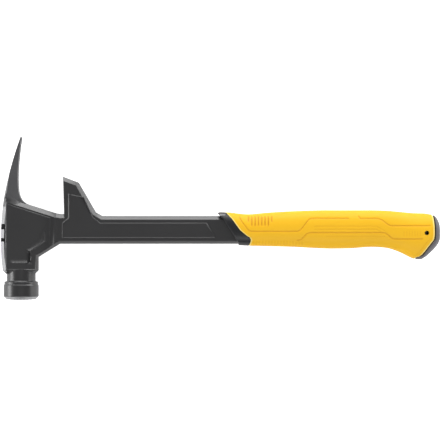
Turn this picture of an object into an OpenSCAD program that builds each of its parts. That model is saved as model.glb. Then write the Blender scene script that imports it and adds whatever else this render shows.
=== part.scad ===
// Framing hammer lying on its side: a forged head with a rip claw and a milled poll,
// welded to a panelled shank with a board jaw, and a two-material grip over the tang.
// Millimetres. +X runs from the head to the butt, +Y from the striking face to the claw,
// and +Z is the thickness. The origin is under the middle, on the surface that it lies on.

/* [Overall] */
// Length from the crown of the head to the end of the butt cap
overall_length = 406; // [390:1:425]
// Reach of the claw's tips above the shank's centre line
claw_reach = 86; // [78:0.5:92]
// Drop from the shank's centre line to the striking face
face_drop = 65; // [62:0.5:72]
// Depth of the chamfers round both forgings
edge_chamfer = 3.2; // [2:0.1:3.6]

/* [Poll] */
// Diameter of the striking poll, which sets how thick the hammer is
poll_d = 32.5; // [30:0.5:36]
// Diameter of the neck behind the poll
neck_d = 26.5; // [23:0.5:27]
// Distance from the crown to the striking axis
poll_inset = 18.5; // [17.5:0.1:19.5]
// Height of the poll from its back edge to the middle of the face
poll_height = 17.3; // [15:0.1:18.5]
// Height of the neck between the head's heel and the poll
neck_height = 7.2; // [6:0.1:8]
// Height of the slightly narrower collar at the back of the poll
poll_collar_height = 2.5; // [1.5:0.1:4]
// How much narrower the collar is than the poll, all round
poll_collar_step = 0.7; // [0.3:0.1:1]
// Width and height of the bevel round the face
face_bevel = 2.7; // [1.5:0.1:3]
// How far the middle of the face stands out past its edge
face_crown = 0.8; // [0.3:0.1:1.2]
// Spacing of the milled grooves in the face
milling_pitch = 3; // [2.4:0.1:4]
// Width of a milled groove
milling_groove = 1.1; // [0.8:0.1:1.6]
// Depth of the milled grooves in the middle of the face
milling_depth = 1; // [0.6:0.1:1.4]

/* [Head] */
// Half of the thickness of the cheeks at their rim
cheek_half = 11.6; // [10:0.1:12.5]
// Height of the raised cheek panel above the rim
cheek_panel_rise = 1.1; // [0.6:0.1:1.4]
// Width of the block over the neck, from the crown
heel_width = 34.4; // [33:0.1:36]
// Distance from the crown to the welded joint with the shank
joint_inset = 51; // [49:0.5:53]
// Width of the chamfer along the crown
crown_chamfer_width = 3.2; // [2:0.1:3.6]
// Width of the chamfer along the jaw's floor
saddle_chamfer_width = 3.9; // [2:0.1:4.2]
// Width of the chamfer along the throat and heel
throat_chamfer_width = 2.3; // [1.5:0.1:2.8]

/* [Claw] */
// Half of the claw's width where it leaves the cheeks
claw_root_half = 10.2; // [9:0.1:11]
// Half of the claw's width at its tips
claw_tip_half = 10.4; // [9:0.1:11.5]
// Distance of the claw's tips from the line of the crown
claw_tip_inset = 18.4; // [16:0.1:20]
// Thickness of the claw's blunt tips
claw_tip_thickness = 0.8; // [0.5:0.1:1.5]
// Length of the nail slot, from the tips
nail_slot_length = 46; // [36:1:50]
// Width of the nail slot at the tips
nail_slot_width = 8.4; // [7:0.1:9.5]
// Width of the nail slot at its root
nail_slot_root_width = 1.6; // [1:0.1:2.5]

/* [Nail starter] */
// Width of the groove in the crown that holds a nail
nail_groove_width = 4.4; // [3.6:0.1:5]
// Depth of the groove below the highest point of the crown
nail_groove_depth = 2.4; // [2:0.1:2.8]
// Width of the seat for a common nail's head, along the groove
nail_seat_width = 5; // [4:0.1:5.5]
// Width of the seat for the second head of a double-headed nail
second_seat_width = 3.2; // [2.5:0.1:4]
// Distance between the middles of the two seats
seat_spacing = 12.1; // [10:0.1:14]
// Diameter of the magnet under the groove
magnet_d = 8; // [6:0.5:9]
// Thickness of the magnet
magnet_thickness = 3; // [2:0.5:5]

/* [Shank] */
// Height of the shank
shank_height = 25.8; // [24:0.1:27]
// Half of the thickness of the shank at its rim
shank_half = 6.6; // [5.5:0.1:8]
// Height of the raised shank panel above the rim
shank_panel_rise = 0.9; // [0.5:0.1:1.2]
// Width of the chamfer along the top of the shank
top_chamfer_width = 3.4; // [2:0.1:4]
// Width of the chamfer up the back and over the top of the hook
hook_chamfer_width = 3.7; // [2:0.1:4]
// Gap between the end of the raised panel and the front of the grip
shank_panel_gap = 5.5; // [2:0.5:20]
// Height of the tang inside the grip
tang_height = 18; // [14:0.5:20]
// Half of the thickness of the tang
tang_half = 4; // [3:0.1:5]
// Diameter of the holes that key the tang into the core
key_hole_d = 7; // [5:0.5:9]

/* [Hook] */
// Opening of the board jaw, from the claw's root to the hook's face
hook_face_inset = 57.2; // [55:0.1:60]
// Height of the hook's tip above the shank's centre line
hook_height = 49.4; // [44:0.1:54]
// Length of the hook's top, from its face to its shoulder
hook_top_length = 14.6; // [12:0.1:18]
// Length that the back of the hook takes along the shank
hook_back_length = 17.9; // [14:0.1:22]

/* [Grip] */
// Length of the grip, from the front lip of the collar to the end of the cap
grip_length = 204; // [190:1:210]
// Height of the grip above the shank's centre line
grip_rise = 18.2; // [17:0.1:20]
// Drop of the butt's heel below the shank's centre line
butt_drop = 27.4; // [25:0.1:30]
// Width of the grip across its cheeks at the butt
butt_width = 32; // [28:0.5:32]
// Thickness of the soft cover over the hard core
cover_wall = 2.8; // [2:0.1:3.4]
// Length of the collar at its foot, where the hard core shows
collar_length = 29.2; // [26:0.1:32]
// Radius of the tether hole through the butt
tether_r = 2.05; // [1.8:0.05:2.5]
// Distance from the tether hole to the end of the butt
tether_inset = 12.7; // [12:0.1:15]
// Number of thumb grooves in each cheek of the cover
thumb_grooves = 8; // [4:1:9]
// Spacing of the thumb grooves
thumb_pitch = 3.05; // [2.8:0.05:3.3]
// Depth of the thumb grooves
thumb_depth = 0.7; // [0.4:0.1:1]

/* [Hidden] */

// Steps in a curve of an outline, and sides of a true round
curve_steps = 8;
round_sides = 96;
// Every cut runs this far past what it cuts
overrun = 1;
// Anything cut right through is at least this long
through = 3 * overall_length;

// Places that every piece shares: the middle of the thickness, and the shank's centre line
mid_z = poll_d / 2;
shank_y = (face_drop - claw_reach) / 2;
shank_top = shank_height / 2;

// Head outline: the crown is a curve that just touches the line at x = 0
root_set_back = 3.2;
heel_set_back = 1.9;
heel_corner = 3;
heel_height = 15.4;
crown_control = -sqrt(root_set_back * heel_set_back);
heel_y = -face_drop + poll_height + neck_height;
throat_y = heel_y + heel_height;

// The jaw's floor slopes from the claw to the joint, then runs level to the hook
saddle_rise = 17.7;
joint_rise = 2.5;
jaw_floor_rise = 1.8;
floor_reach = 4;
saddle_start_y = shank_top + saddle_rise;
joint_top_y = shank_top + joint_rise;
saddle_slope = (saddle_start_y - joint_top_y) / (joint_inset - root_set_back);
jaw_floor_y = shank_top + jaw_floor_rise;

// The throat slants from the heel to the underside of the shank, past the joint
throat_reach = 3.5;
throat_end = joint_inset + throat_reach;
throat_slope = (-shank_top - throat_y) / (throat_end - heel_width);
joint_bottom_y = throat_y + throat_slope * (joint_inset - heel_width);

// How far the neck's root reaches back into the block, and how the neck thins to the shank
neck_root_reach = 6;
neck_taper = (cheek_half - shank_half) / (joint_inset - heel_width);

// Cheek panel: how far its foot stays inside the outline, and where it ends
panel_side = 5.6;
panel_margin = 2.6;
panel_heel_margin = 4.6;
panel_throat_margin = 3.1;
panel_saddle_margin = 6.4;
head_valley = 5.6;
panel_end = joint_inset - head_valley;

// Troughs that set the middle of the cheek off from its lower rim: along the heel, up its side
// and along the throat. Each has a long slope on the panel's side and a short one on the rim's.
trough_start = 8.2;
trough_corner = 26.8;
trough_heel_rise = 10.7;
trough_turn_rise = 5.2;
trough_end = 42.7;
trough_end_rise = 17.2;
trough_lap = 2;
trough_end_run = 3;
heel_trough = [1.1, 1.2, 3.5];
side_trough = [2.2, 1.7, 3.6];
throat_trough = [1.6, 2.4, 4];

// Claw outline: where its curves pull to, from the crown and above the top of the shank
claw_bow = 8.9;
claw_bow_rise = 47.2;
claw_belly = 14.4;
claw_belly_rise = 40.7;
claw_root_inner = 16.4;
claw_root_rise = 23.1;
claw_fillet = 17.8;
claw_fillet_rise = 12.5;
claw_foot = 26.4;

// Length of the slant below the poll's collar, its back bevel, and the slant up to the neck
poll_collar_slant = 1.1;
poll_back_bevel = 0.5;
neck_fillet = 0.8;

// Nail starter
seat_drop = 9.9;
seat_land_half = 6.2;
seat_half = 4.4;
seat_depth = 3.3;
magnet_wall = 2;
seat_y = shank_top - seat_drop;
second_seat_y = seat_y - seat_spacing;
magnet_y = second_seat_y - second_seat_width / 2 - magnet_wall - magnet_d / 2;

// Shank: how much of it the grip covers, and where its tang ends
covered_shank = 40;
tang_end_wall = 20;
shank_end = overall_length - grip_length + covered_shank;
tang_end = overall_length - tether_inset - tang_end_wall;
key_holes = 3;
key_hole_pitch = 34;

// Hook outline
hook_undercut = 1.1;
hook_root_depth = 5;
hook_foot_depth = 8;
hook_top_slope = 0.38;
hook_face_chamfer = 0.5;
hook_rounding = 4;
hook_foot = hook_face_inset + hook_undercut;
hook_shoulder = hook_face_inset + hook_top_length;
hook_shoulder_y = hook_height - hook_top_slope * hook_top_length;
hook_back_foot = hook_shoulder + hook_back_length;

// Shank panel: how far its foot stays inside the outline of the shank and the hook
shank_valley = 6.5;
shank_panel_start = joint_inset + shank_valley;
shank_panel_margin = 7;
shank_panel_low_margin = 6.4;
shank_panel_slant = 7;
hook_panel_margin = 6.2;
hook_panel_drop = 17;
hook_panel_slant = 2.6;
hook_panel_step_drop = 4;
hook_panel_back_margin = 4.7;
hook_panel_foot_drop = 1.6;
hook_panel_foot_reach = 5;
hook_panel_foot_end = 2;

// Weld between head and shank, ground flush with the head's end
weld_width = 3;
weld_root_half = 2.4;
weld_root_gap = 0.6;
weld_outer_half = cheek_half + overrun;

// Grip stations: share of the grip's length, of its rise, of the butt's drop and of its width
grip_x = overall_length - grip_length;
grip_station_shares = [
    [0.000, 0.905, 0.500, 0.80],
    [0.045, 0.890, 0.510, 0.81],
    [0.090, 0.830, 0.520, 0.82],
    [0.135, 0.797, 0.535, 0.83],
    [0.220, 0.880, 0.551, 0.86],
    [0.330, 0.951, 0.573, 0.90],
    [0.465, 1.000, 0.625, 0.92],
    [0.520, 1.000, 0.631, 0.92],
    [0.600, 1.000, 0.620, 0.90],
    [0.690, 1.000, 0.577, 0.89],
    [0.765, 0.973, 0.620, 0.91],
    [0.820, 0.918, 0.759, 0.94],
    [0.870, 0.865, 0.940, 0.98],
    [0.900, 0.850, 0.999, 1.00],
    [0.930, 0.840, 0.950, 1.00],
    [0.957, 0.797, 0.765, 0.99]
];
// The end of the butt rounds off from the last station
butt_end_shares = [0.25, 0.5, 0.72, 0.88, 0.97, 1];
butt_end_rise = 1;
butt_end_drop = 8;
butt_end_width_share = 0.5;
butt_end_squareness = 4;
butt_heel_power = 0.6;
grip_rings = 34;
grip_sides = 28;
grip_squareness = 2.7;

// Edges of the collar and the cap: shares of the collar's length and of the shank's height,
// and distances from the end of the butt as shares of the butt's width
collar_front_shares = [
    [0.00, 0.75],
    [0.00, 0.64],
    [0.15, 0.37],
    [0.60, -0.47],
    [0.60, -0.75]
];
collar_back_shares = [
    [0.85, -0.75],
    [0.97, -0.49],
    [1.00, -0.36],
    [0.965, -0.27],
    [0.87, -0.21],
    [0.65, -0.00],
    [0.40, 0.39],
    [0.16, 0.68],
    [0.12, 0.75]
];
cap_edge_shares = [
    [0.26, 0.60],
    [0.20, 0.50],
    [0.135, 0.35],
    [0.115, 0.00],
    [0.125, -0.13],
    [0.18, -0.27],
    [0.54, -0.74],
    [0.72, -0.80],
    [0.90, -1.20]
];
cap_level_station = 3;
cap_spigot_d = 8;
cap_spigot_length = 9;
cap_spigot_y = 7;
fit_clearance = 0.1;
tether_drop = 2.7;

// Thumb grooves
thumb_lead = 2.4;
thumb_drop = 4.6;
thumb_length = 9;
thumb_r = 1.6;
thumb_start = collar_length - thumb_lead;
thumb_y = shank_top - thumb_drop;

// The point that lies a share of the way along a curve with one control point
function curve_point(a, control, b, share) =
    (1 - share) ^ 2 * a + 2 * share * (1 - share) * control + share ^ 2 * b;

// A curve from a towards b, without b itself
function curve(a, control, b) =
    [for (step = [0 : curve_steps - 1]) curve_point(a, control, b, step / curve_steps)];

function unit(v) = v / norm(v);
function left_of(v) = [-v[1], v[0]];

// What lies above a sloping plane through point, and its mirror image under the hammer's middle.
// The plane climbs by gradient along X and Y.
module beyond_slopes(point, gradient) {
    for (side = [0, 1])
        mirror([0, 0, side])
            translate(point)
                rotate([0, atan(norm(gradient)), atan2(-gradient[1], -gradient[0])])
                    translate([-through / 2, -through / 2, 0])
                        cube([through, through, through]);
}

// A forged slab with a convex outline about the middle of the thickness, chamfered on both
// cheeks. The chamfer is drop deep, and widths gives its width on each edge, or zero for none.
// From start the slab thins along X by taper.
module slab(points, widths, half, drop, taper = 0, start = 0) {
    count = len(points);
    difference() {
        linear_extrude(2 * half, center = true)
            polygon(points);
        if (taper > 0)
            beyond_slopes([start, 0, half], [-taper, 0]);
        for (i = [0 : count - 1])
            if (widths[i] > 0) {
                edge = unit(points[(i + 1) % count] - points[i]);
                level = half - drop - taper * (points[i][0] - start);
                beyond_slopes(
                    [points[i][0], points[i][1], level],
                    [-taper, 0] + left_of(edge) * drop / widths[i]
                );
            }
    }
}

// The same width on each of count edges
function same(width, count) = [for (i = [1 : count]) width];

// Height of the jaw's sloping floor at x
function saddle_y(x) = saddle_start_y - saddle_slope * (x - root_set_back);

// Height of the throat's slanted underside at x
function throat_line_y(x) = throat_y + throat_slope * (x - heel_width);

// Puts a piece drawn from the crown and the shank's centre line where it lies
module in_place() {
    translate([-overall_length / 2, shank_y, mid_z]) children();
}

// The crown, from the root of the claw down to the heel
function crown_points() =
    curve(
        [root_set_back, saddle_start_y],
        [crown_control, (saddle_start_y + heel_y) / 2],
        [heel_set_back, heel_y + heel_corner]
    );

// The block behind the crown. Its chamfer along the heel stops under the neck's root, which
// fills the corner between the heel and the throat.
module head_block() {
    crown = crown_points();
    points = concat(
        crown,
        [
            [heel_set_back, heel_y + heel_corner],
            [heel_set_back + heel_corner, heel_y],
            [heel_width - heel_corner, heel_y],
            [heel_width, heel_y + heel_corner],
            [heel_width, throat_y],
            [heel_width, saddle_y(heel_width)]
        ]
    );
    widths = concat(
        same(crown_chamfer_width, len(crown)),
        same(throat_chamfer_width, 4),
        [0],
        [saddle_chamfer_width]
    );
    slab(points, widths, cheek_half, edge_chamfer);
    root_x = heel_width - neck_root_reach;
    root_points = [
        [root_x, throat_line_y(root_x)],
        [heel_width, throat_y],
        [heel_width, saddle_y(heel_width)],
        [root_x, saddle_y(root_x)]
    ];
    root_widths = [throat_chamfer_width, 0, saddle_chamfer_width, 0];
    slab(root_points, root_widths, cheek_half, edge_chamfer);
}

module head_neck() {
    points = [
        [heel_width, throat_y],
        [joint_inset, joint_bottom_y],
        [joint_inset, joint_top_y],
        [heel_width, saddle_y(heel_width)]
    ];
    widths = [throat_chamfer_width, 0, saddle_chamfer_width, 0];
    slab(points, widths, cheek_half, edge_chamfer, neck_taper, heel_width);
}

// Raised panel on the cheeks, which thins towards the joint as the neck does
module cheek_panel() {
    side = heel_width - panel_margin;
    low = heel_y + panel_heel_margin;
    half = cheek_half + cheek_panel_rise;
    points = [
        [panel_side, saddle_y(panel_side) - panel_saddle_margin],
        [panel_side, low],
        [side, low],
        [side, throat_y + panel_margin],
        [heel_width, throat_line_y(heel_width) + panel_throat_margin],
        [panel_end, throat_line_y(panel_end) + panel_throat_margin],
        [panel_end, saddle_y(panel_end) - panel_saddle_margin]
    ];
    difference() {
        linear_extrude(2 * half, center = true)
            polygon(points);
        beyond_slopes([heel_width, 0, half], [-neck_taper, 0]);
    }
}

// One trough in both cheeks, from a to b, with the panel on its left. Shape gives its depth, the
// width of its slope on the rim's side and on the panel's side. It falls along X by taper, and
// slopes up to the surface at the ends that are closed.
module trough(a, b, shape, closed, taper = 0) {
    along = b - a;
    for (side = [0, 1])
        mirror([0, 0, side])
            translate([a[0], a[1], cheek_half + cheek_panel_rise])
                rotate([0, atan(taper * unit(along)[0]), atan2(along[1], along[0])])
                    difference() {
                        translate([-trough_lap, 0, 0])
                            rotate([90, 0, 90])
                                linear_extrude(norm(along) + 2 * trough_lap)
                                    polygon([
                                        [0, -shape[0]],
                                        [2 * shape[2], shape[0]],
                                        [-2 * shape[1], shape[0]]
                                    ]);
                        for (end = [0, 1])
                            if (closed[end] > 0)
                                translate([end * norm(along), 0, 0])
                                    rotate([0, (1 - 2 * end) * atan(shape[0] / trough_end_run), 0])
                                        translate([-through / 2, -through / 2, -through])
                                            cube([through, through, through]);
                    }
}

module cheek_troughs() {
    corner = [trough_corner, heel_y + trough_heel_rise];
    turn = [trough_corner, throat_y + trough_turn_rise];
    end = [trough_end, throat_y + trough_end_rise];
    bend = turn + (end - turn) * (heel_width - turn[0]) / (end[0] - turn[0]);
    trough_overlap = [0, trough_end_run];
    trough([trough_start, corner[1]], corner, heel_trough, [1, 0]);
    trough(corner - trough_overlap, turn + trough_overlap, side_trough, [1, 1]);
    trough(turn, bend, throat_trough, [0, 0]);
    trough(bend, end, throat_trough, [0, 1], neck_taper);
}

// The claw, a curved blade that thins to two tips. The chamfer of the crown runs on up its back
// and dies out where the blade bends away from it.
module claw() {
    outer = curve(
        [root_set_back, saddle_start_y],
        [claw_bow, shank_top + claw_bow_rise],
        [claw_tip_inset, claw_reach]
    );
    inner = curve(
        [claw_tip_inset + claw_tip_thickness, claw_reach],
        [claw_belly, shank_top + claw_belly_rise],
        [claw_root_inner, shank_top + claw_root_rise]
    );
    fillet = curve(
        [claw_root_inner, shank_top + claw_root_rise],
        [claw_fillet, shank_top + claw_fillet_rise],
        [claw_foot, saddle_y(claw_foot)]
    );
    foot_y = saddle_y(claw_foot) - saddle_chamfer_width;
    crown = crown_points();
    crown_edge = unit(crown[1] - crown[0]);
    outline = concat(
        outer,
        [[claw_tip_inset, claw_reach]],
        inner,
        fillet,
        [
            [claw_foot, saddle_y(claw_foot)],
            [claw_foot, foot_y],
            [root_set_back, saddle_start_y - saddle_chamfer_width]
        ]
    );
    foot_half = cheek_half - edge_chamfer;
    root_y = shank_top + claw_root_rise;
    front = [
        [-foot_half, foot_y],
        [foot_half, foot_y],
        [foot_half, saddle_y(claw_foot)],
        [claw_root_half, root_y],
        [claw_tip_half, claw_reach],
        [-claw_tip_half, claw_reach],
        [-claw_root_half, root_y],
        [-foot_half, saddle_y(claw_foot)]
    ];
    slot = [
        [-nail_slot_root_width / 2, claw_reach - nail_slot_length],
        [nail_slot_root_width / 2, claw_reach - nail_slot_length],
        [nail_slot_width / 2, claw_reach + overrun],
        [-nail_slot_width / 2, claw_reach + overrun]
    ];
    difference() {
        intersection() {
            linear_extrude(through, center = true)
                polygon(outline);
            rotate([0, -90, 0])
                linear_extrude(through, center = true)
                    difference() {
                        polygon(front);
                        polygon(slot);
                    }
        }
        beyond_slopes(
            [root_set_back, saddle_start_y, cheek_half - edge_chamfer],
            left_of(crown_edge) * edge_chamfer / crown_chamfer_width
        );
    }
}

// Neck and poll, round about the striking axis, with the milled face
module poll() {
    face_edge_r = poll_d / 2 - face_bevel;
    collar_r = poll_d / 2 - poll_collar_step;
    profile = [
        [0, 0],
        [face_edge_r / 2, face_crown / 4],
        [face_edge_r, face_crown],
        [poll_d / 2, face_crown + face_bevel],
        [poll_d / 2, poll_height - poll_collar_height - poll_collar_slant],
        [collar_r, poll_height - poll_collar_height],
        [collar_r, poll_height - poll_back_bevel],
        [collar_r - poll_back_bevel, poll_height],
        [neck_d / 2 + neck_fillet, poll_height],
        [neck_d / 2, poll_height + neck_fillet],
        [neck_d / 2, poll_height + neck_height + heel_corner],
        [0, poll_height + neck_height + heel_corner]
    ];
    grooves = floor(face_edge_r / milling_pitch);
    translate([poll_inset, -face_drop, 0])
        difference() {
            rotate([-90, 0, 0])
                rotate_extrude($fn = round_sides)
                    polygon(profile);
            for (turn = [0, 90], i = [-grooves : grooves])
                rotate([0, turn, 0])
                    translate([(i + 0.5) * milling_pitch, 0, 0])
                        cube([milling_groove, 2 * milling_depth, poll_d], center = true);
        }
}

// What the crown loses: the nail's groove, the seats for its heads and the magnet's pocket
module nail_starter_cuts() {
    groove_top = seat_y + nail_seat_width / 2;
    translate([0, (groove_top + heel_y - overrun) / 2, 0])
        cube(
            [2 * nail_groove_depth, groove_top - heel_y + overrun, nail_groove_width],
            center = true
        );
    seats = [[seat_y, nail_seat_width], [second_seat_y, second_seat_width]];
    for (seat = seats) {
        translate([0, seat[0], 0])
            cube([2 * seat_depth, seat[1], 2 * seat_half], center = true);
        for (side = [1, -1])
            translate([0, seat[0], side * (seat_land_half + through / 2)])
                cube([2 * (seat_depth + heel_set_back), seat[1], through], center = true);
    }
    magnet_solid();
}

module magnet_solid() {
    translate([nail_groove_depth, magnet_y, 0])
        rotate([0, 90, 0])
            cylinder(d = magnet_d, h = magnet_thickness, $fn = round_sides);
}

// The bevel that the weld fills, ground into both cheeks of the head's end
module weld_bevels() {
    for (side = [1, -1])
        rotate([90, 0, 0])
            linear_extrude(through, center = true)
                polygon([
                    [joint_inset - weld_root_gap, side * weld_root_half],
                    [joint_inset + overrun, side * weld_root_half],
                    [joint_inset + overrun, side * weld_outer_half],
                    [joint_inset - weld_width, side * weld_outer_half]
                ]);
}

module head_forging() {
    color([0.17, 0.17, 0.17])
        in_place()
            difference() {
                union() {
                    head_block();
                    head_neck();
                    cheek_panel();
                    claw();
                    poll();
                }
                cheek_troughs();
                nail_starter_cuts();
                weld_bevels();
            }
}

// The straight bar of the shank, from the joint to inside the grip
module shank_bar() {
    points = [
        [joint_inset, -shank_top],
        [shank_end, -shank_top],
        [shank_end, shank_top],
        [joint_inset, shank_top]
    ];
    slab(points, [throat_chamfer_width, 0, top_chamfer_width, 0], shank_half, edge_chamfer);
}

// Where the shank swells to meet the head, under the jaw's floor
module shank_root() {
    end = hook_foot + hook_root_depth;
    points = [
        [joint_inset, joint_bottom_y],
        [end, throat_line_y(end)],
        [end, jaw_floor_line_y(end)],
        [joint_inset, joint_top_y]
    ];
    slab(points, [throat_chamfer_width, 0, saddle_chamfer_width, 0], shank_half, edge_chamfer);
    floor_points = [
        [joint_inset + floor_reach / 2, 0],
        [end, 0],
        [end, jaw_floor_y],
        [joint_inset + floor_reach / 2, jaw_floor_y]
    ];
    slab(floor_points, [0, 0, saddle_chamfer_width, 0], shank_half, edge_chamfer);
}

// Height of the jaw's floor at x, between the joint and where it runs level
function jaw_floor_line_y(x) =
    joint_top_y + (jaw_floor_y - joint_top_y) * (x - joint_inset) / floor_reach;

// The hook, with a slanted back that runs down into the shank
module hook() {
    back = [hook_back_length, shank_top - hook_shoulder_y];
    face = [hook_undercut, shank_top - hook_height];
    back_reach = (hook_shoulder_y + hook_root_depth) / -back[1];
    face_reach = (hook_height + hook_root_depth) / -face[1];
    points = [
        [hook_face_inset, hook_height] + face * face_reach,
        [hook_shoulder, hook_shoulder_y] + back * back_reach,
        [hook_shoulder, hook_shoulder_y],
        [hook_face_inset, hook_height]
    ];
    widths = [0, hook_chamfer_width, hook_chamfer_width, hook_face_chamfer];
    slab(points, widths, shank_half, edge_chamfer);
    along = unit([hook_shoulder, hook_shoulder_y] - [hook_back_foot, shank_top]);
    foot_points = [
        [hook_shoulder, hook_foot_depth],
        [hook_back_foot + hook_rounding, hook_foot_depth],
        [hook_back_foot + hook_rounding, shank_top],
        [hook_back_foot, shank_top] + along * hook_rounding
    ];
    slab(foot_points, [0, 0, top_chamfer_width, 0], shank_half, edge_chamfer);
}

// Raised panel that covers the shank and climbs into the hook
module shank_panel() {
    top = shank_top - shank_panel_margin;
    low = -shank_top + shank_panel_low_margin;
    step_x = hook_face_inset + hook_panel_margin;
    hook_top = hook_height - hook_panel_drop;
    end = grip_x - shank_panel_gap;
    slope = (hook_shoulder_y - shank_top) / hook_back_length;
    back_x = hook_shoulder + (hook_shoulder_y - hook_top) / slope - hook_panel_back_margin;
    points = [
        [shank_panel_start, low],
        [end, low],
        [end - shank_panel_slant, top],
        [hook_back_foot + hook_panel_foot_end, top],
        [hook_back_foot - hook_panel_foot_reach, shank_top - hook_panel_foot_drop],
        [back_x, hook_top - hook_panel_slant],
        [step_x, hook_top],
        [step_x, jaw_floor_y - hook_panel_step_drop],
        [shank_panel_start, top]
    ];
    linear_extrude(2 * (shank_half + shank_panel_rise), center = true)
        polygon(points);
}

// The narrow tang that runs down the grip, with its keying holes
module tang() {
    start = shank_end - overrun;
    difference() {
        translate([start, -tang_height / 2, -tang_half])
            cube([tang_end - start, tang_height, 2 * tang_half]);
        tang_keys(through);
    }
}

// Round posts through the tang
module tang_keys(length) {
    for (i = [0 : key_holes - 1])
        translate([shank_end + key_hole_pitch / 2 + i * key_hole_pitch, 0, 0])
            cylinder(d = key_hole_d, h = length, center = true, $fn = round_sides);
}

module shank_solid() {
    shank_bar();
    shank_root();
    hook();
    shank_panel();
    tang();
}

module shank_forging() {
    color([0.17, 0.17, 0.17])
        in_place()
            shank_solid();
}

module neck_weld() {
    color([0.2, 0.2, 0.2])
        in_place()
            intersection() {
                head_neck();
                weld_bevels();
            }
}

module nail_start_magnet() {
    color([0.6, 0.6, 0.62])
        in_place()
            magnet_solid();
}

// A smooth value at a share of the way, from the stations' column
function station_slope(table, i, column) =
    let (
        low = max(i - 1, 0),
        high = min(i + 1, len(table) - 1)
    )
    (table[high][column] - table[low][column]) / (table[high][0] - table[low][0]);

function station_before(table, share, i = 0) =
    i >= len(table) - 2 || table[i + 1][0] >= share ? i : station_before(table, share, i + 1);

function smooth_value(table, share, column) =
    let (
        i = station_before(table, share),
        span = table[i + 1][0] - table[i][0],
        t = (share - table[i][0]) / span,
        low = table[i][column],
        high = table[i + 1][column],
        low_slope = station_slope(table, i, column) * span,
        high_slope = station_slope(table, i + 1, column) * span
    )
    low * (2 * t ^ 3 - 3 * t ^ 2 + 1) + low_slope * (t ^ 3 - 2 * t ^ 2 + t)
        + high * (3 * t ^ 2 - 2 * t ^ 3) + high_slope * (t ^ 3 - t ^ 2);

last_station = grip_station_shares[len(grip_station_shares) - 1];

// Rise, drop and half width of the grip at a share of its length
function grip_body_size(share) = [
    grip_rise * smooth_value(grip_station_shares, share, 1),
    butt_drop * smooth_value(grip_station_shares, share, 2),
    butt_width / 2 * smooth_value(grip_station_shares, share, 3)
];

// The same on the rounded end, where share runs from the last station to the tip
function grip_end_size(share) =
    let (edge = grip_body_size(last_station[0]))
    [
        butt_end_rise + (edge[0] - butt_end_rise) * sqrt(1 - share ^ 2),
        butt_end_drop + (edge[1] - butt_end_drop) * (1 - share) ^ butt_heel_power,
        edge[2] * (
            butt_end_width_share
                + (1 - butt_end_width_share) * sqrt(1 - share ^ butt_end_squareness)
        )
    ];

// One ring of the grip's surface: rise, drop and half width drawn in by wall
function grip_ring(x, size, wall) =
    let (
        rise = size[0] - wall,
        drop = size[1] - wall,
        half = size[2] - wall,
        middle = (rise - drop) / 2,
        tall = (rise + drop) / 2
    )
    [
        for (i = [0 : grip_sides - 1])
            let (
                a = 360 * (i + 0.5) / grip_sides,
                c = cos(a),
                s = sin(a)
            )
            [
                x,
                middle + tall * sign(c) * abs(c) ^ (2 / grip_squareness),
                half * sign(s) * abs(s) ^ (2 / grip_squareness)
            ]
    ];

// The grip as one closed form, drawn in by wall on every side and at its end
module grip_form(wall) {
    body_end = grip_x + grip_length * last_station[0];
    body = [
        for (i = [0 : grip_rings])
            let (share = last_station[0] * i / grip_rings)
            grip_ring(grip_x + grip_length * share, grip_body_size(share), wall)
    ];
    end = [
        for (share = butt_end_shares)
            grip_ring(
                body_end + (overall_length - wall - body_end) * share,
                grip_end_size(share),
                wall
            )
    ];
    rings = concat(body, end);
    count = len(rings);
    polyhedron(
        points = [for (ring = rings) each ring],
        faces = concat(
            [[for (i = [0 : grip_sides - 1]) i]],
            [[for (i = [grip_sides - 1 : -1 : 0]) (count - 1) * grip_sides + i]],
            [
                for (ring = [0 : count - 2], i = [0 : grip_sides - 1])
                    let (
                        a = ring * grip_sides + i,
                        b = ring * grip_sides + (i + 1) % grip_sides
                    )
                    each [
                        [a, b + grip_sides, b],
                        [a, a + grip_sides, b + grip_sides]
                    ]
            ]
        ),
        convexity = 6
    );
}

function collar_points(shares) =
    [for (p = shares) [grip_x + p[0] * collar_length, p[1] * shank_height]];

// Side view of what lies ahead of the collar, and of the collar itself
module ahead_of_collar() {
    points = collar_points(collar_front_shares);
    linear_extrude(through, center = true)
        polygon(concat(
            points,
            [[grip_x - overrun, -shank_height], [grip_x - overrun, shank_height]]
        ));
}

module collar_zone() {
    linear_extrude(through, center = true)
        polygon(concat(
            [[grip_x - overrun, shank_height], [grip_x - overrun, -shank_height]],
            collar_points(collar_back_shares)
        ));
}

// Side view of the cap
module cap_zone() {
    linear_extrude(through, center = true)
        polygon(concat(
            [for (p = cap_edge_shares) [overall_length - p[0] * butt_width, p[1] * butt_width]],
            [
                [overall_length + overrun, -1.5 * butt_width],
                [overall_length + overrun, butt_width]
            ]
        ));
}

module tether_bore() {
    translate([overall_length - tether_inset, -tether_drop, 0])
        cylinder(r = tether_r, h = through, center = true, $fn = round_sides);
}

module cap_spigot(gap) {
    end = overall_length - cap_edge_shares[cap_level_station][0] * butt_width;
    translate([end - cap_spigot_length - gap, cap_spigot_y, 0])
        rotate([0, 90, 0])
            cylinder(
                d = cap_spigot_d + 2 * gap,
                h = cap_spigot_length + gap + overrun,
                $fn = round_sides
            );
}

module grip_core() {
    color([0.14, 0.14, 0.14])
        in_place()
            difference() {
                union() {
                    grip_form(cover_wall);
                    intersection() {
                        grip_form(0);
                        collar_zone();
                    }
                }
                ahead_of_collar();
                cap_zone();
                shank_bar();
                tang();
                tether_bore();
                cap_spigot(fit_clearance);
            }
}

module soft_grip() {
    color([0.93, 0.71, 0.13])
        in_place()
            difference() {
                grip_form(0);
                grip_form(cover_wall);
                collar_zone();
                cap_zone();
                tether_bore();
                thumb_groove_cuts();
            }
}

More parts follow.
